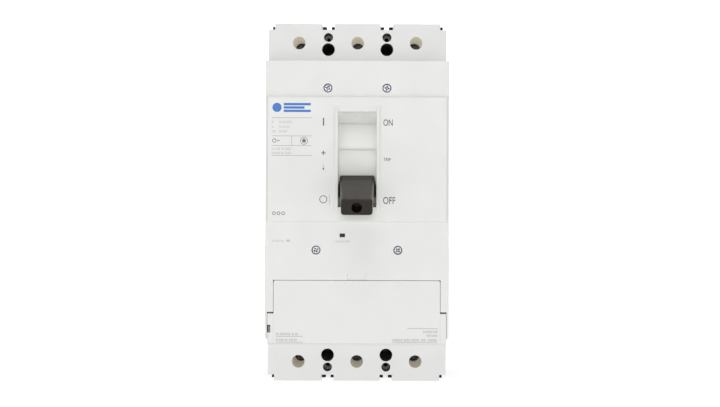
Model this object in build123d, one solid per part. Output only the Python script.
from build123d import *

import math
import os

# Three-pole moulded-case breaker for panel mounting, built as an assembly of separate pieces.
#
# Frame: +X to the right, +Z up, the front faces -Y. The origin is the centre of the mounting face, and
# "depth" (d) is the distance in front of that face, so y = -d. All sizes are millimetres.
# A plate or bar is written as a box of three (low, high) pairs: x, depth, z.

# ---- Driving dimensions ----
POLE_PITCH = 45.0
POLES = (-POLE_PITCH, 0.0, POLE_PITCH)
BETWEEN_POLES = (-POLE_PITCH / 2, POLE_PITCH / 2)
ENDS = (1, -1)  # +1 is the line end at the top, -1 the load end at the bottom

BODY_HALF_X = 68.5
BODY_HALF_Z = 137.5
BASE_DEPTH = 78.0  # parting plane between the dark base and the light upper housing
SHROUD_DEPTH = 103.0  # front of the terminal shrouds
COVER_HALF_X = 70.0
COVER_HALF_Z = 108.0
COVER_DEPTH = 117.0  # front of the main cover
FACE_DEPTH = 120.0  # front of the raised operating panel
WALL = 3.0
FLOOR = 5.0
DECK_DEPTH = 81.0  # front of the deck over the pole chambers
BAY_FLOOR = 18.0  # back wall of a terminal bay
NOTCH_Z = 132.8  # where the notches and corner steps of both ends begin
BOSS_R = 5.0

MOUNT_HALF_Z = 117.6
MOUNT_CLEARANCE_R = 2.75
MOUNT_DRIVER_R = 4.9
SHROUD_SCREW_HALF_Z = 126.9
SHROUD_SCREW_R = 3.43
SHROUD_PILOT_R = 1.4
SHROUD_SCREW_SINK = 20.0

TERMINAL_Z = 122.6
TERMINAL_ACCESS_R = 4.85
TERMINAL_TUBE_R = 6.5
BAR_DEPTH = (27.0, 33.0)
BAR_HALF_X = 12.5
CAVITY_HALF_X = 20.5
CAVITY_HALF_Z = 105.0
BAY_HALF_X = 16.0

# Operating handle: swings about an axis along X, deep in the base
PIVOT_D = 26.0
PIVOT_Z = 33.0
HANDLE_REST_DEG = 15.0  # below horizontal at OFF; ON is the same angle above
HANDLE_REACH = 143.3
HANDLE_SOCKET_R = 3.9
HANDLE_SOCKET_DEPTH = 20.0
SLOT_HALF_X = 14.7
SLOT_Z = (-3.6, 69.0)
RAIL_PROUD = 1.2

# Sliding shutters behind the handle slot, as sectors about the handle pivot
SHUTTER_T = 1.2
OUTER_SHUTTER_R = 88.5
INNER_SHUTTER_R = 86.8
FIXED_SHUTTER_R = 84.6
OUTER_SHUTTER_HALF_DEG = 20.1
INNER_SHUTTER_HALF_DEG = 26.0
FIXED_SHUTTER_DEG = (17.6, 30.5)
SHUTTER_HALF_X = 16.4

# Contact shaft and knee linkage
SHAFT_D = 42.0
SHAFT_Z = 4.0
SHAFT_R = 9.5
CONTACT_OPEN_DEG = 30.0
ARM_REACH = 56.0
CRANK_R = 17.0
CRANK_DEG = 75.0  # crank pin direction at OFF, from straight ahead towards +Z
LINK_PIN = (68.0, 30.0)  # pin on the cradle that carries the upper links
UPPER_LINK = 15.0
UPPER_LINK_DEG = 251.3
LOWER_LINK = 17.4
LOWER_LINK_DEG = -15.3
CRADLE_PIN = (71.5, 57.0)

# Trip push button and trip bar
BUTTON_X = -11.2
BUTTON_Z = -25.2
TRIP_BAR_D = 86.0
TRIP_BAR_Z = -13.2

# Hinged flap over the accessory bay
FLAP_HALF_X = 63.5
FLAP_Z = (-107.7, -59.7)
EAR_HALF_X = 68.3
EAR_TOP_Z = -84.9
HINGE_D = 113.0
HINGE_Z = -101.0
HINGE_PIN_R = 1.8

# Screws: (x, z)
COVER_SCREWS = [(-22.5, 87.1), (22.5, 87.1), (-31.2, -36.5), (31.2, -36.5)]
COVER_SCREW_TURNS = (20, 12, 64, 45)  # how far each one happens to be turned, in degrees
HOUSING_SCREWS = [(x, z) for x in BETWEEN_POLES for z in (48.0, -38.0)]
SCREW_HEAD_R = 3.0
SCREW_WELL_R = 3.45
SCREW_SHANK_R = 2.0

RUN = 0.06  # radial clearance of a running fit
GAP = 0.2  # play between neighbouring mouldings


# ---- Small builders ----
def slab(x, d, z):
    """A box from (low, high) pairs along x, depth and z."""
    size = (x[1] - x[0], d[1] - d[0], z[1] - z[0])
    centre = ((x[0] + x[1]) / 2, -(d[0] + d[1]) / 2, (z[0] + z[1]) / 2)
    return Pos(*centre) * Box(*size)


def around(centre, half):
    """The (low, high) pair centred on a value."""
    return (centre - half, centre + half)


def ordered(a, b):
    return (min(a, b), max(a, b))


def rod_y(x, z, r, d):
    """A cylinder along Y between two depths."""
    return Pos(x, -(d[0] + d[1]) / 2, z) * Rot(90, 0, 0) * Cylinder(r, d[1] - d[0])


def rod_x(d, z, r, x):
    """A cylinder along X between two x values."""
    return Pos((x[0] + x[1]) / 2, -d, z) * Rot(0, 90, 0) * Cylinder(r, x[1] - x[0])


def plate_x(outline, x):
    """An outline of (depth, z) points, extruded along X."""
    points = [(x[0], -d, z) for d, z in outline]
    return extrude(make_face(Polyline(*points, close=True)), x[1] - x[0], dir=(1, 0, 0))


def plate_y(outline, d):
    """An outline of (x, z) points, extruded between two depths."""
    points = [(x, -d[0], z) for x, z in outline]
    return extrude(make_face(Polyline(*points, close=True)), d[1] - d[0], dir=(0, -1, 0))


def plate_z(outline, z):
    """An outline of (x, depth) points, extruded along Z."""
    points = [(x, -d, z[0]) for x, d in outline]
    return extrude(make_face(Polyline(*points, close=True)), z[1] - z[0], dir=(0, 0, 1))


def polar(centre, r, degrees):
    """A (depth, z) point at a radius and angle from another; 0 is straight ahead, 90 is up."""
    a = math.radians(degrees)
    return (centre[0] + r * math.cos(a), centre[1] + r * math.sin(a))


def sector(r, degrees, half_x, centre=(PIVOT_D, PIVOT_Z), thickness=SHUTTER_T):
    """A curved strip about the handle pivot, from one angle to another."""
    low, high = degrees
    middle = (low + high) / 2

    def point(radius, angle):
        d, z = polar(centre, radius, angle)
        return (-half_x, -d, z)

    outer = ThreePointArc(point(r, low), point(r, middle), point(r, high))
    inner = ThreePointArc(*[point(r - thickness, a) for a in (high, middle, low)])
    ends = [Line(outer @ 1, inner @ 0), Line(inner @ 1, outer @ 0)]
    return extrude(make_face([outer, inner, *ends]), 2 * half_x, dir=(1, 0, 0))


def link(a, b, width, x, hole_a, hole_b, end_b=None):
    """A flat bar with round ends between two (depth, z) points, with a hole at each."""
    angle = math.degrees(math.atan2(b[1] - a[1], b[0] - a[0]))
    corners = [polar(p, width, angle + s) for p, s in ((a, -90), (b, -90), (b, 90), (a, 90))]
    bar = plate_x(corners, x) + rod_x(*a, width, x) + rod_x(*b, end_b or width, x)
    return bar - rod_x(*a, hole_a, x) - rod_x(*b, hole_b, x)


def turned(shape, degrees, d, z):
    """A shape turned about an axis along +X through a (depth, z) point."""
    return shape.rotate(Axis((0, -d, z), (1, 0, 0)), degrees)


def both_sides(x):
    """An x pair and its mirror image."""
    return [x, (-x[1], -x[0])]


def union(shapes):
    total = shapes[0]
    for shape in shapes[1:]:
        total = total + shape
    return total


def save(name, *shapes):
    """Writes one node from one or more separate solids."""
    solids = [s for shape in shapes for s in shape.solids()]
    export_step(Compound(children=solids) if len(solids) > 1 else solids[0], f"parts/{name}.step")


# ---- Housing ----
def end_relief(depths):
    """Cuts at both ends: an outer corner step and the open slots for phase barriers."""
    corner_x, slot_half_x, slot_z = 66.6, 1.95, 131.8
    cuts = []
    for end in ENDS:
        for x in both_sides((corner_x, BODY_HALF_X + 1)):
            cuts.append(slab(x, depths, ordered(end * NOTCH_Z, end * (BODY_HALF_Z + 1))))
        for x in BETWEEN_POLES:
            z = ordered(end * slot_z, end * (BODY_HALF_Z + 1))
            cuts.append(slab(around(x, slot_half_x), depths, z))
    return cuts


def base_relief():
    """Shallow moulded fields: four rows behind each pole, two on each flank, and the parting groove."""
    field_x, rows, pocket, groove = 16.5, ((4.0, 46.0), (53.0, 96.0)), 1.2, 0.6
    cuts = []
    for end in ENDS:
        for low, high in rows:
            for x in POLES:
                field = slab(around(x, field_x), (-1, pocket), ordered(end * low, end * high))
                cuts.append(fillet(field.edges().filter_by(Axis.Y), 2))
        for x in both_sides((BODY_HALF_X - groove, BODY_HALF_X + 1)):
            field = slab(x, (9, 70), ordered(end * 5, end * 99))
            cuts.append(fillet(field.edges().filter_by(Axis.X), 2))
    for x in both_sides((BODY_HALF_X - groove, BODY_HALF_X + 1)):
        cuts.append(slab(x, (BASE_DEPTH - groove, BASE_DEPTH + 1), (-BODY_HALF_Z - 1, BODY_HALF_Z + 1)))
    return cuts


def base_housing():
    """Dark rear shell: three pole chambers, six terminal bays and the fixing pillars."""
    body = slab((-BODY_HALF_X, BODY_HALF_X), (0, BASE_DEPTH), (-BODY_HALF_Z, BODY_HALF_Z))
    body = fillet(body.edges().filter_by(Axis.Y), 0.8)
    body = fillet(body.faces().sort_by(Axis.Y)[-1].edges(), 0.6)
    top = BASE_DEPTH + 1
    bar_play = 0.3
    for cut in base_relief():
        body -= cut
    for x in POLES:
        body -= slab(around(x, CAVITY_HALF_X), (FLOOR, top), (-CAVITY_HALF_Z, CAVITY_HALF_Z))
        for end in ENDS:
            bay_z = ordered(end * COVER_HALF_Z, end * (BODY_HALF_Z + 1))
            body -= slab(around(x, BAY_HALF_X), (BAY_FLOOR, top), bay_z)
            bar_slot = (BAR_DEPTH[0] - bar_play, BAR_DEPTH[1] + bar_play)
            wall_z = ordered(end * (CAVITY_HALF_Z - 1), end * (COVER_HALF_Z + 1))
            body -= slab(around(x, BAR_HALF_X + bar_play), bar_slot, wall_z)
        # Gas vents from the arc chamber into the line-end bay
        for offset in (-10.5, -3.5, 3.5, 10.5):
            body -= slab(around(x + offset, 1.5), (50, 74), (CAVITY_HALF_Z - 1, COVER_HALF_Z + 1))
    for x in BETWEEN_POLES:
        # Bearing notch for the contact shaft in the wall between two poles
        bearing_r = SHAFT_R + 0.3
        body -= rod_x(SHAFT_D, SHAFT_Z, bearing_r, around(x, 3))
        body -= slab(around(x, 3), (SHAFT_D, top), around(SHAFT_Z, bearing_r))
        for end in ENDS:
            # Tower that carries the fixing hole up through the shroud
            body += slab(around(x, 6.2), (BASE_DEPTH, 101), ordered(end * 111.4, end * 122.9))
            body -= rod_y(x, end * MOUNT_HALF_Z, MOUNT_DRIVER_R, (6, 102))
            body -= rod_y(x, end * MOUNT_HALF_Z, MOUNT_CLEARANCE_R, (-1, 7))
            body -= rod_y(x, end * SHROUD_SCREW_HALF_Z, SHROUD_PILOT_R, (60, BASE_DEPTH + 1))
    for x, z in HOUSING_SCREWS:
        body += rod_y(x, z, BOSS_R, (FLOOR - 1, BASE_DEPTH))
        body -= rod_y(x, z, 4.2, (-1, 4))
        body -= rod_y(x, z, SCREW_SHANK_R + 0.15, (3, BASE_DEPTH + 1))
    for cut in end_relief((-1, top)):
        body -= cut
    return body


def upper_housing():
    """Light middle shell: side walls, a deck over the pole chambers, and the terminal shrouds."""
    depths = (BASE_DEPTH, SHROUD_DEPTH)
    body = slab((-BODY_HALF_X, BODY_HALF_X), depths, (-BODY_HALF_Z, BODY_HALF_Z))
    body = fillet(body.edges().filter_by(Axis.Y), 0.8)
    body = fillet(body.faces().sort_by(Axis.Y)[0].edges(), 0.6)
    rebate_x = COVER_HALF_X - 1.5 - GAP
    for x in both_sides((rebate_x, BODY_HALF_X + 1)):
        body -= slab(x, (87.5, SHROUD_DEPTH + 1), (-COVER_HALF_Z - 0.3, COVER_HALF_Z + 0.3))
    inner_x = BODY_HALF_X - WALL
    open_front = (DECK_DEPTH, SHROUD_DEPTH + 1)
    body -= slab((-inner_x, inner_x), open_front, (-CAVITY_HALF_Z, CAVITY_HALF_Z))
    # Windows in the deck: the operating mechanism, the trip bar's spring arm and the blanking insert
    through_deck = (BASE_DEPTH - 1, DECK_DEPTH + 1)
    body -= slab((-19.5, 19.5), through_deck, (-17, 84))
    body -= slab((-64.3, 64.3), through_deck, (-104.2, -45.8))
    # Ribs between the poles
    rooted = DECK_DEPTH - 0.5
    for x in BETWEEN_POLES:
        body += slab(around(x, 2), (rooted, 100), (43, CAVITY_HALF_Z + 0.5))
        body += slab(around(x, 2), (rooted, 100), (-45.8, -33))
    thread_r = SCREW_SHANK_R + 0.03
    for x, z in HOUSING_SCREWS:
        body += rod_y(x, z, 4.4, (rooted, 100))
        body -= rod_y(x, z, thread_r, (BASE_DEPTH - 1, 96))
    for x, z in COVER_SCREWS:
        body += rod_y(x, z, BOSS_R, (rooted, SHROUD_DEPTH))
        body -= rod_y(x, z, thread_r, (86, SHROUD_DEPTH + 1))
    # Saddles that carry the trip bar
    for x in (-56.0, -30.0, 30.0, 56.0):
        body += slab(around(x, 2), (rooted, 90.5), (-18.5, -8))
        body -= rod_x(TRIP_BAR_D, TRIP_BAR_Z, 3 + RUN, around(x, 3))
        body -= slab(around(x, 3), (TRIP_BAR_D, 91), around(TRIP_BAR_Z, 3 + RUN))
    for end in ENDS:
        for x in POLES:
            # Terminal bay under the shroud, with the tube that guides a hex key to the bolt
            z = ordered(end * COVER_HALF_Z, end * (BODY_HALF_Z + 1))
            body -= slab(around(x, 15), (BASE_DEPTH - 1, 98), z)
            body += rod_y(x, end * TERMINAL_Z, TERMINAL_TUBE_R, (47, 98.5))
            body -= rod_y(x, end * TERMINAL_Z, TERMINAL_ACCESS_R, (46, SHROUD_DEPTH + 1))
        for x in BETWEEN_POLES:
            z = ordered(end * 111.1, end * 123.2)
            body -= slab(around(x, 6.5), (BASE_DEPTH - 1, 101.3), z)
            body -= rod_y(x, end * MOUNT_HALF_Z, MOUNT_DRIVER_R, (100, SHROUD_DEPTH + 1))
            sink = SHROUD_DEPTH - SHROUD_SCREW_SINK
            body -= rod_y(x, end * SHROUD_SCREW_HALF_Z, SHROUD_SCREW_R, (sink, SHROUD_DEPTH + 1))
            body -= rod_y(x, end * SHROUD_SCREW_HALF_Z, SHROUD_PILOT_R, (BASE_DEPTH - 1, sink + 1))
        # Wide notches over the barrier slots, and corner steps
        z = ordered(end * NOTCH_Z, end * (BODY_HALF_Z + 1))
        notches = [around(x, 4.8) for x in BETWEEN_POLES] + both_sides((63.6, BODY_HALF_X + 1))
        for x in notches:
            body -= slab(x, (BASE_DEPTH - 1, SHROUD_DEPTH + 1), z)
    # Sill under the flap's lower edge
    body += slab((-EAR_HALF_X, EAR_HALF_X), (SHROUD_DEPTH - 1, 105.3), (-107.9, -106.2))
    return body


def slot_rail(side):
    """Low rim beside the handle slot, sloped on its outer side and ramped at both ends."""
    low, high, ramp, flat, wide = -7.0, 73.5, 5.0, 1.9, 3.4
    rooted, top = FACE_DEPTH - 0.5, FACE_DEPTH + RAIL_PROUD
    section = [(0, rooted), (0, top), (flat, top), (wide, FACE_DEPTH), (wide, rooted)]
    rail = plate_z([(side * (SLOT_HALF_X + u), d) for u, d in section], (low, high))
    profile = [(rooted, low), (FACE_DEPTH, low), (top, low + ramp), (top, high - ramp)]
    profile += [(FACE_DEPTH, high), (rooted, high)]
    return rail & plate_x(profile, ordered(side * SLOT_HALF_X, side * (SLOT_HALF_X + wide)))


def front_cover():
    """Main cover with side skirts, the raised operating panel, the handle slot and the flap window."""
    skin = COVER_DEPTH - WALL
    body = slab((-COVER_HALF_X, COVER_HALF_X), (88, COVER_DEPTH), (-104.4, COVER_HALF_Z))
    corners = body.edges().filter_by(Axis.Y).sort_by(Axis.Z)
    body = chamfer(corners[:2], 1.4)
    body = fillet(body.faces().sort_by(Axis.Y)[0].edges(), 0.6)
    skirt_x = COVER_HALF_X - 1.5
    body -= slab((-skirt_x, skirt_x), (87, SHROUD_DEPTH), (-110, COVER_HALF_Z + 1))
    body -= slab((-skirt_x, skirt_x), (87, skin), (-110, COVER_HALF_Z - WALL))
    # Raised operating panel, hollow behind, with sloped sides
    foot = plate_face((-69.2, 69.2), COVER_DEPTH, (-15.6, 81.1))
    face = plate_face((-67.85, 67.85), FACE_DEPTH, (-14.2, 79.7))
    body += loft([foot, face])
    body -= slab((-64.5, 64.5), (skin - 1, COVER_DEPTH), (-12, 77))
    for side in (1, -1):
        body += slot_rail(side)
    body -= slab((-SLOT_HALF_X, SLOT_HALF_X), (skin - 2, FACE_DEPTH + 2), SLOT_Z)
    for x, z in COVER_SCREWS:
        body += rod_y(x, z, BOSS_R, (SHROUD_DEPTH, skin + 0.5))
        body -= rod_y(x, z, SCREW_WELL_R, (112.5, COVER_DEPTH + 1))
        body -= rod_y(x, z, SCREW_SHANK_R + 0.15, (SHROUD_DEPTH - 1, 113))
    # Guide for the trip button
    body += slab(around(BUTTON_X, 4), (106.2, skin + 0.5), around(BUTTON_Z, 3.2))
    body -= slab(around(BUTTON_X, 2.05), (105, COVER_DEPTH + 1), around(BUTTON_Z, 1.4))
    # Flap window, wider beside the hinge ears, and a finger recess above it
    body -= slab((-63.8, 63.8), (skin - 1, COVER_DEPTH + 1), (-110, FLAP_Z[1] + 0.3))
    body -= slab((-skirt_x, skirt_x), (skin - 1, COVER_DEPTH + 1), (-110, EAR_TOP_Z + 1.2))
    body -= slab((-7.3, 7.3), (116.4, COVER_DEPTH + 1), (FLAP_Z[1], -54.6))
    for x in both_sides((skirt_x - 0.5, COVER_HALF_X + 1)):
        body -= rod_x(HINGE_D, HINGE_Z, HINGE_PIN_R + RUN, x)
    # Bosses that the shutter guide is fixed to
    for x in both_sides((18.0, 22.5)):
        for z in (-6.0, 71.5):
            body += slab(x, (108, COVER_DEPTH + 0.5), around(z, 2.5))
    return body


def plate_face(x, d, z, corner=0):
    """A rectangle in the plane at one depth, for lofting, with rounded corners if asked."""
    centre = ((x[0] + x[1]) / 2, -d, (z[0] + z[1]) / 2)
    width, height = x[1] - x[0], z[1] - z[0]
    shape = RectangleRounded(width, height, corner) if corner else Rectangle(width, height)
    return Pos(*centre) * Rot(90, 0, 0) * shape


def hinged_flap():
    """Flap over the accessory bay, with hinge ears, lugs and pins in one moulding."""
    panel = slab((-FLAP_HALF_X, FLAP_HALF_X), (114.5, COVER_DEPTH), FLAP_Z)
    panel = fillet(panel.edges().filter_by(Axis.Y).sort_by(Axis.Z)[-2:], 1.5)
    body = panel + slab((-EAR_HALF_X, EAR_HALF_X), (107, COVER_DEPTH), (FLAP_Z[0], -105.5))
    lug = [(115, FLAP_Z[0]), (109.5, FLAP_Z[0]), (109.5, -99.5), (112, -97), (115, -97)]
    ear_face = COVER_DEPTH - 0.35
    for side in (1, -1):
        body += slab(ordered(side * 63, side * EAR_HALF_X), (114.5, ear_face), (FLAP_Z[0], EAR_TOP_Z))
        step = ordered(side * FLAP_HALF_X, side * (EAR_HALF_X + 1))
        body -= slab(step, (ear_face, COVER_DEPTH + 1), (FLAP_Z[0] - 1, EAR_TOP_Z + 1))
        body += plate_x(lug, ordered(side * FLAP_HALF_X, side * 65.7))
        body += rod_x(HINGE_D, HINGE_Z, HINGE_PIN_R, ordered(side * 65.5, side * 69.8))
    for x in (-40, 0, 40):
        body += slab(around(x, 0.8), (112.5, 115), (-105.6, -63))
    body -= slab((-EAR_HALF_X - 1, -65.9), (114, COVER_DEPTH + 1), (-99.5, -93.6))
    return body


def blanking_insert():
    """Moulded insert that fills the release bay: a deck plate with a tray per pole and feet below."""
    body = slab((-63.8, 63.8), (BASE_DEPTH + GAP, DECK_DEPTH), (-103.7, -46.3))
    rooted = DECK_DEPTH - 0.5
    for x in POLES:
        foot = slab(around(x, 19.3), (38, BASE_DEPTH + 0.5), (-102.5, -47.5))
        foot -= slab(around(x, 17.3), (37, BASE_DEPTH - 1.5), (-100.5, -49.5))
        rim = slab(around(x, 18.5), (rooted, 87), (-100, -52))
        rim -= slab(around(x, 16.7), (80, 88), (-98.2, -53.8))
        body += foot + rim
    for x in BETWEEN_POLES:
        body += slab(around(x, 1.5), (rooted, 95), (-90, -60))
    return body


# ---- Handle and shutters ----
def barrel_outline(half, half_top, shoulder):
    """A prism along Y that narrows to the top over its rounded shoulders."""
    low, high = PIVOT_Z - 14, PIVOT_Z + 11.2
    bend = high - shoulder
    right = [(half, low), (half, bend), (half_top, high)]
    left = [(-x, z) for x, z in reversed(right)]
    prism = plate_y(right + left, (PIVOT_D + 80, PIVOT_D + 100))
    prism = fillet(prism.edges().filter_by(Axis.Y).sort_by(Axis.Z)[2:4], 20)
    return fillet(prism.edges().filter_by(Axis.Y).sort_by(Axis.Z)[-2:], 1.9)


def handle_moulding():
    """Dark handle: a tapered grip on a curved foot, with a stem that reaches in to the yoke."""
    foot_r, foot_t = 93.2, 4.6
    sections = ((91.0, 13.4, -8.8, 11.3), (100.0, 12.8, -8.3, 9.9), (HANDLE_REACH, 11.6, -5.6, 6.7))
    rounded = [
        plate_face((-half, half), PIVOT_D + reach, (PIVOT_Z + low, PIVOT_Z + high), 2.2)
        for reach, half, low, high in sections
    ]
    grip = loft(rounded, ruled=True)
    grip = fillet(grip.faces().sort_by(Axis.Y)[0].edges(), 0.8)
    foot = sector(foot_r, (-8.2, 6.9), 14.4, thickness=foot_t) & barrel_outline(14.4, 12.6, 7.5)
    for x in both_sides((12.9, 14.3)):
        lug = sector(foot_r + 2.4, (-7.8, -2.7), 0.7, thickness=foot_t)
        foot += Pos((x[0] + x[1]) / 2, 0, 0) * lug
    stem = slab((-7.5, 7.5), (PIVOT_D + 75, PIVOT_D + 90), around(PIVOT_Z, 3.2))
    body = grip + foot + stem
    body -= slab((-5, 5), (PIVOT_D + 74, PIVOT_D + 83), around(PIVOT_Z, 1.3))
    mouth = PIVOT_D + HANDLE_REACH
    body -= rod_y(0, PIVOT_Z, HANDLE_SOCKET_R, (mouth - HANDLE_SOCKET_DEPTH, mouth + 1))
    return turned(body, HANDLE_REST_DEG, PIVOT_D, PIVOT_Z)


def finger_line(r, edge):
    """A fine moulded groove just below a shutter's upper edge."""
    return sector(r + 0.5, (edge - 0.85, edge - 0.3), 13.2, thickness=1.25)


def outer_shutter():
    """Curved shutter that is clipped round the handle's stem and moves with it."""
    half = OUTER_SHUTTER_HALF_DEG
    body = sector(OUTER_SHUTTER_R, (-half, half), SHUTTER_HALF_X) - finger_line(OUTER_SHUTTER_R, half)
    body -= slab((-7.7, 7.7), (PIVOT_D + 80, PIVOT_D + 95), around(PIVOT_Z, 3.4))
    return turned(body, HANDLE_REST_DEG, PIVOT_D, PIVOT_Z)


def inner_shutter():
    """Second shutter, dragged along at half the handle's angle, with a window for the stem."""
    half = INNER_SHUTTER_HALF_DEG
    body = sector(INNER_SHUTTER_R, (-half, half), SHUTTER_HALF_X) - finger_line(INNER_SHUTTER_R, half)
    window = math.radians(10.8) * INNER_SHUTTER_R
    body -= slab((-8.2, 8.2), (PIVOT_D + 78, PIVOT_D + 95), around(PIVOT_Z, window))
    return turned(body, HANDLE_REST_DEG / 2, PIVOT_D, PIVOT_Z)


def shutter_guide():
    """Fixed cheeks beside the shutters, joined by a curved end strip at the top and bottom."""
    low, high = FIXED_SHUTTER_DEG
    strips = [sector(FIXED_SHUTTER_R, (low, high), 17.2), sector(FIXED_SHUTTER_R, (-high, -low), 17.2)]
    cheek_x = (16.8, 18.0)
    # Moulded pip in a shallow pocket of the upper strip, low enough for the inner shutter to pass over
    pip_deg = (22.1, 23.5)
    body = union(strips) - sector(FIXED_SHUTTER_R + 0.5, pip_deg, 2.8, thickness=1.1)
    body += sector(FIXED_SHUTTER_R + 0.7, pip_deg, 1.7, thickness=1.6)
    for x in both_sides(cheek_x):
        half = (x[1] - x[0]) / 2
        middle = (x[0] + x[1]) / 2
        cheek = sector(90.6, (-31, 31), half, thickness=8.0)
        body += Pos(middle, 0, 0) * cheek
    for x in both_sides((17.5, 22.5)):
        for z in (-6.0, 71.5):
            body += slab(x, (105.5, 107.9), around(z, 2.5))
    return body


def handle_yoke():
    """Steel fork that joins the handle to its pivot studs, outside the mechanism plates."""
    bridge = slab((-16, 16), (PIVOT_D + 72, PIVOT_D + 74.5), around(PIVOT_Z, 7))
    tongue = slab((-4.8, 4.8), (PIVOT_D + 74, PIVOT_D + 82.5), around(PIVOT_Z, 1.1))
    body = bridge + tongue
    for x in both_sides((14.0, 16.0)):
        arm = slab(x, (PIVOT_D, PIVOT_D + 74.5), around(PIVOT_Z, 4.5)) + rod_x(PIVOT_D, PIVOT_Z, 6.5, x)
        body += arm
        body -= rod_x(PIVOT_D, PIVOT_Z, 3 + RUN, (x[0] - 0.5, x[1] + 0.5))
    return turned(body, HANDLE_REST_DEG, PIVOT_D, PIVOT_Z)


def coil(radius, wire, turns, start, end):
    """A coil spring between two points, as a wire swept along a helix with closed ends left off."""
    length = (Vector(*end) - Vector(*start)).length
    helix = Helix(length / turns, length, radius)
    section = Plane(origin=helix @ 0, z_dir=helix % 0) * Circle(wire / 2)
    spring = sweep(section, path=helix)
    place = Plane(origin=start, z_dir=Vector(*end) - Vector(*start))
    return place * spring


def main_springs():
    """The pair of springs from the knee pin to the yoke's bridge."""
    knee = polar(LINK_PIN, UPPER_LINK, UPPER_LINK_DEG)
    bridge = polar((PIVOT_D, PIVOT_Z), 71.5, -HANDLE_REST_DEG)
    springs = []
    for x in (-3.4, 3.4):
        start = (x, -(knee[0] + 2.6), knee[1])
        end = (x, -bridge[0] + 0.6, bridge[1])
        springs.append(coil(2.2, 1.0, 14, start, end))
    return springs


# ---- Mechanism ----
def mechanism_plates():
    """The two steel side plates that carry the linkage."""
    outline = [(14, -12), (14, 44), (36, 44), (40, 61.5), (76, 61.5), (76, 24), (70, -12)]
    plates = []
    for x in both_sides((11.9, 13.4)):
        plate = plate_x(outline, x)
        plate -= rod_x(SHAFT_D, SHAFT_Z, SHAFT_R + 0.4, x)
        plate -= rod_x(PIVOT_D, PIVOT_Z, 3.05, x)
        plate -= rod_x(*CRADLE_PIN, 2.55, x)
        plate -= rod_x(18, 0, 2.55, x)
        plates.append(plate)
    return plates


def plate_spacers():
    """Riveted cross pins that hold the side plates apart; the upper one is the cradle's pivot."""
    return [rod_x(*CRADLE_PIN, 2.5, (-13.4, 13.4)), rod_x(18, 0, 2.5, (-13.4, 13.4))]


def pivot_studs():
    """Headed studs on the side plates, on which the yoke turns."""
    studs = []
    for side in (1, -1):
        shank = rod_x(PIVOT_D, PIVOT_Z, 3, ordered(side * 11.9, side * 16.2))
        head = rod_x(PIVOT_D, PIVOT_Z, 4.5, ordered(side * 16.2, side * 17.2))
        studs.append(shank + head)
    return studs


def latch_cradle():
    """Latched cradle: two side strips on the upper cross pin, a nose below, and the link pin."""
    d, z = LINK_PIN
    outline = [(67, 61), (65.5, 44), (64, 30), (65, 20), (66.5, -9), (72.5, -9), (73, 30), (75.5, 61)]
    body = rod_x(d, z, 2.4, (-11.5, 11.5))
    for x in both_sides((10.1, 11.6)):
        strip = plate_x(outline, x) - rod_x(*CRADLE_PIN, 2.5 + RUN, x)
        body += strip
    body += slab((-11.6, 11.6), (66.5, 72.5), (-10.5, -8))
    return body


def upper_links():
    """Pair of upper links on the cradle's pin, with the knee pin between their lower ends."""
    knee = polar(LINK_PIN, UPPER_LINK, UPPER_LINK_DEG)
    body = rod_x(*knee, 1.8, (-9.8, 9.8))
    for x in both_sides((8.4, 9.8)):
        body += link(LINK_PIN, knee, 3.6, x, 2.4 + RUN, 0.5)
    return body


def lower_links():
    """Pair of lower links on the shaft's crank pins; their outer holes clear the knee pin."""
    crank = polar((SHAFT_D, SHAFT_Z), CRANK_R, CRANK_DEG)
    knee = polar(crank, LOWER_LINK, LOWER_LINK_DEG)
    return [link(crank, knee, 3.4, x, 1.9 + RUN, 3.7, end_b=5.2) for x in both_sides((6.7, 8.1))]


def contact_shaft():
    """Moulded shaft across all three poles, slotted for the contact arms, with crank ears."""
    half = 63.5
    body = rod_x(SHAFT_D, SHAFT_Z, SHAFT_R, (-half, half))
    # Built closed, with the arms straight up, and turned open at the end
    for x in POLES:
        body -= slab(around(x, 4.1), around(SHAFT_D, 4.1), (SHAFT_Z - 20, SHAFT_Z + 20))
    crank_closed = CRANK_DEG + CONTACT_OPEN_DEG
    crank = polar((SHAFT_D, SHAFT_Z), CRANK_R, crank_closed)
    for side in (1, -1):
        ear_x = ordered(side * 4.6, side * 6.5)
        body += link((SHAFT_D, SHAFT_Z), crank, 3.4, ear_x, 0.3, 0.3)
        body += rod_x(*crank, 1.9, ordered(side * 4.6, side * 8.2))
        body += rod_x(SHAFT_D, SHAFT_Z, 2, ear_x)
    return turned(body, CONTACT_OPEN_DEG, SHAFT_D, SHAFT_Z)


def moving_contact(x):
    """Copper contact arm in its open position."""
    arm = slab(around(x, 4), around(SHAFT_D, 4), (SHAFT_Z - 14, SHAFT_Z + ARM_REACH))
    arm = chamfer(arm.edges().filter_by(Axis.X).sort_by(Axis.Z)[-2:], 1.5)
    return turned(arm, CONTACT_OPEN_DEG, SHAFT_D, SHAFT_Z)


def moving_tips():
    """Silver pads on the backs of the contact arms."""
    tips = [slab(around(x, 3.6), (35.7, 38), (SHAFT_Z + 45, SHAFT_Z + 54)) for x in POLES]
    return [turned(tip, CONTACT_OPEN_DEG, SHAFT_D, SHAFT_Z) for tip in tips]


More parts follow.
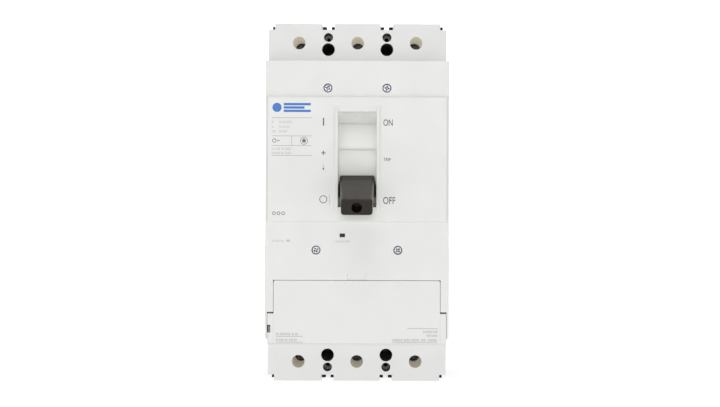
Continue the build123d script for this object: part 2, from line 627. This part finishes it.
def flexible_braid(x):
    """Copper braid from the heel of a contact arm to the load bar, as a bent strap."""
    heel = polar((SHAFT_D, SHAFT_Z), 14.2, 270 - CONTACT_OPEN_DEG)
    direction = 270 - CONTACT_OPEN_DEG
    start = polar(heel, 1.4, direction)
    bend = polar(start, 9, direction)
    landing = (BAR_DEPTH[1] + 1.5, -42.0)
    path = FilletPolyline(
        (x, -start[0], start[1]),
        (x, -bend[0], bend[1]),
        (x, -(landing[0] + 12), -24),
        (x, -landing[0], -30),
        (x, -landing[0], landing[1]),
        radius=2.6,
    )
    section = Plane(origin=path @ 0, z_dir=path % 0, x_dir=(1, 0, 0)) * Rectangle(7.6, 2.6)
    return sweep(section, path=path)


# ---- Current path and arc chutes ----
def terminal_bar(x, end):
    """Copper bar from a terminal into its pole chamber."""
    inner = 48.0 if end == 1 else 26.0
    bar = slab(around(x, BAR_HALF_X), BAR_DEPTH, ordered(end * inner, end * 135))
    bar = chamfer(bar.edges().filter_by(Axis.Y), 1.2)
    return bar - rod_y(x, end * TERMINAL_Z, 5.2, (BAR_DEPTH[0] - 1, BAR_DEPTH[1] + 1))


def fixed_tips():
    """Silver pads on the line bars, where the arms close."""
    return [slab(around(x, 3.6), (BAR_DEPTH[1], 35.4), (SHAFT_Z + 45, SHAFT_Z + 54)) for x in POLES]


def terminal_bolt(x, z):
    """Socket-head terminal bolt."""
    bolt = rod_y(x, z, 8, (35, 45)) + rod_y(x, z, 4.9, (20, 35.5))
    socket = RegularPolygon(radius=4.6, side_count=6)
    return bolt - extrude(Pos(x, -46, z) * Rot(90, 0, 0) * socket, -7, dir=(0, -1, 0))


def terminal_washer(x, z):
    return rod_y(x, z, 10, (BAR_DEPTH[1], 35)) - rod_y(x, z, 5.3, (BAR_DEPTH[1] - 1, 36))


def terminal_nut(x, z):
    """Captive square nut under a terminal bar."""
    nut = slab(around(x, 8.5), (18.1, BAR_DEPTH[0]), around(z, 8.5))
    return chamfer(nut.edges().filter_by(Axis.Y), 1.0) - rod_y(x, z, 5.0, (17, BAR_DEPTH[0] + 1))


def splitter_plates(x):
    """Steel plates stacked along the contact arm's travel, notched for its tip."""
    plates = []
    first, pitch, count = 38.0, 4.6, 9
    for k in range(count):
        d = first + pitch * k
        outline = [(-15.5, 64), (-6, 64), (0, 74), (6, 64), (15.5, 64), (15.5, 99), (-15.5, 99)]
        plates.append(plate_y([(x + px, pz) for px, pz in outline], (d, d + 1.5)))
    return plates


def chute_walls(x):
    """Fibre boards on both sides of a stack of splitter plates."""
    return [slab(ordered(x + s * 15.6, x + s * 17.2), (34, 77.5), (62.5, 101)) for s in (1, -1)]


# ---- Trip ----
def trip_button():
    """Push-to-trip button: a square head, a collar that keeps it in, and a plunger."""
    head = slab(around(BUTTON_X, 1.95), (105, 116.2), around(BUTTON_Z, 1.3))
    collar = slab(around(BUTTON_X, 3), (103.6, 106), around(BUTTON_Z, 2.4))
    return head + collar + rod_y(BUTTON_X, BUTTON_Z, 1.2, (92.3, 104))


def trip_bar():
    """Trip bar across the poles, with a paddle under the button and a latch finger."""
    body = rod_x(TRIP_BAR_D, TRIP_BAR_Z, 3, (-60, 60))
    paddle = [(88, -15), (91.9, -20), (91.9, -28), (89, -28), (89, -21.5), (85, -14)]
    body += plate_x(paddle, around(BUTTON_X, 3))
    finger = [(84, -10.5), (73, -8.3), (73, -11.2), (84, -15.2)]
    body += plate_x(finger, (-5, 5))
    return body


def trip_spring():
    """Spring that returns the trip bar and lifts the button."""
    return coil(2.2, 0.7, 4, (BUTTON_X, -81.6, BUTTON_Z), (BUTTON_X, -88.2, BUTTON_Z))


# ---- Fasteners ----
def cover_screw(x, z, turn):
    """Cover screw: a pan head with a rounded rim and a tapered cross recess."""
    face, sink = 115.6, 1.1
    head = rod_y(x, z, SCREW_HEAD_R, (112.5, face))
    head = fillet(head.edges().sort_by(Axis.Y)[0], 0.6)
    mouth = plate_face(around(x, 1.9), face + 0.05, around(z, 0.62))
    root = plate_face(around(x, 0.9), face - sink, around(z, 0.2))
    wing = loft([mouth, root])
    for quarter in (0, 90):
        head -= wing.rotate(Axis((x, 0, z), (0, 1, 0)), turn + quarter)
    return head + rod_y(x, z, SCREW_SHANK_R, (88, 113))


def housing_screw(x, z):
    """Long screw from the back, which joins the base to the upper housing."""
    screw = rod_y(x, z, 3.9, (0.6, 3.9)) + rod_y(x, z, SCREW_SHANK_R, (3.5, 94))
    for half in ((2.4, 0.6), (0.6, 2.4)):
        screw -= slab(around(x, half[0]), (0, 2.2), around(z, half[1]))
    return screw


def main():
    os.makedirs("parts", exist_ok=True)
    save("base_housing", base_housing())
    save("upper_housing", upper_housing())
    save("front_cover", front_cover())
    save("hinged_flap", hinged_flap())
    save("blanking_insert", blanking_insert())
    save("shutter_guide", shutter_guide())

    save("toggle_handle", handle_moulding())
    save("outer_shutter", outer_shutter())
    save("inner_shutter", inner_shutter())
    save("handle_yoke", handle_yoke())
    save("main_springs", *main_springs())

    save("mechanism_plates", *mechanism_plates())
    save("plate_spacers", *plate_spacers())
    save("pivot_studs", *pivot_studs())
    save("latch_cradle", latch_cradle())
    save("upper_links", upper_links())
    save("lower_links", *lower_links())
    save("contact_shaft", contact_shaft())
    save("moving_tips", *moving_tips())
    save("fixed_tips", *fixed_tips())

    for number, x in enumerate(POLES, 1):
        save(f"moving_contact_{number}", moving_contact(x))
        save(f"flexible_braid_{number}", flexible_braid(x))
        save(f"line_bar_{number}", terminal_bar(x, 1))
        save(f"load_bar_{number}", terminal_bar(x, -1))
        save(f"splitter_plates_{number}", *splitter_plates(x))
        save(f"chute_walls_{number}", *chute_walls(x))

    places = [(x, end * TERMINAL_Z) for end in ENDS for x in POLES]
    save("terminal_bolts", *[terminal_bolt(x, z) for x, z in places])
    save("terminal_washers", *[terminal_washer(x, z) for x, z in places])
    save("terminal_nuts", *[terminal_nut(x, z) for x, z in places])

    save("trip_button", trip_button())
    save("trip_bar", trip_bar())
    save("trip_spring", trip_spring())
    turned_screws = zip(COVER_SCREWS, COVER_SCREW_TURNS)
    save("cover_screws", *[cover_screw(*place, turn) for place, turn in turned_screws])
    save("housing_screws", *[housing_screw(x, z) for x, z in HOUSING_SCREWS])


main()
